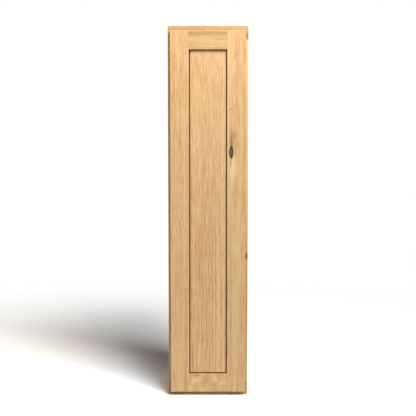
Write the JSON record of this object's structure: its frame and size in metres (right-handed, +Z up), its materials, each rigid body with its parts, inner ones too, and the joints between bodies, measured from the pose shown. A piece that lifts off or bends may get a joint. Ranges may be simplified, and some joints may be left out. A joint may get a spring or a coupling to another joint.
{
  "type": "kitchen wall cabinet",
  "caption": "Tall narrow wooden kitchen wall cabinet with a face frame, a recessed-panel door on concealed hinges and adjustable shelves inside.",
  "frame": {"origin": "on the ground under the middle of the closed cabinet, door included", "axes": "+X to the right of someone who faces the door, +Y back to the wall, +Z up"},
  "size_m": [0.2286, 0.327, 1.0668],
  "materials": {
    "door_wood": "clear satin lacquer",
    "frame_wood": "clear satin lacquer",
    "panel_veneer": "clear satin lacquer on veneered plywood",
    "rail_wood": "bare planed wood",
    "nickel_steel": "nickel plate",
    "damper_plastic": "moulded",
    "spacer_rubber": "moulded",
    "clear_bumper": "clear soft plastic"
  },
  "bodies": {
    "cabinet": {"back_panel": "panel_veneer", "bottom_panel": "panel_veneer", "frame_left_stile": "frame_wood", "frame_lower_rail": "frame_wood", "frame_right_stile": "frame_wood", "frame_upper_rail": "frame_wood", "hinge_arm_screws": "nickel_steel", "hinge_plate_screws": "nickel_steel", "left_side": "panel_veneer", "lower_hanging_rail": "rail_wood", "lower_hinge_arm": "nickel_steel", "lower_hinge_plate": "nickel_steel", "lower_shelf": "panel_veneer", "lower_shelf_pins": "nickel_steel", "middle_hinge_arm": "nickel_steel", "middle_hinge_plate": "nickel_steel", "middle_shelf": "panel_veneer", "middle_shelf_pins": "nickel_steel", "right_side": "panel_veneer", "top_panel": "panel_veneer", "upper_hanging_rail": "rail_wood", "upper_hinge_arm": "nickel_steel", "upper_hinge_plate": "nickel_steel", "upper_shelf": "panel_veneer", "upper_shelf_pins": "nickel_steel"},
    "door": {"door_bumpers": "clear_bumper", "door_hinge_stile": "door_wood", "door_latch_stile": "door_wood", "door_lower_rail": "door_wood", "door_panel": "door_wood", "door_upper_rail": "door_wood", "hinge_cup_screws": "nickel_steel", "lower_hinge_cup": "nickel_steel", "lower_hinge_damper": "damper_plastic", "lower_hinge_pin": "nickel_steel", "middle_hinge_cup": "nickel_steel", "middle_hinge_damper": "damper_plastic", "middle_hinge_pin": "nickel_steel", "panel_spacers": "spacer_rubber", "upper_hinge_cup": "nickel_steel", "upper_hinge_damper": "damper_plastic", "upper_hinge_pin": "nickel_steel"}
  },
  "joints": [
    {"name": "door_swing", "type": "hinge", "parent": "cabinet", "child": "door", "pos_m": [-0.10008, -0.15247, 0.5334], "axis": [0, 0, -1], "range_deg": [0, 105]}
  ]
}
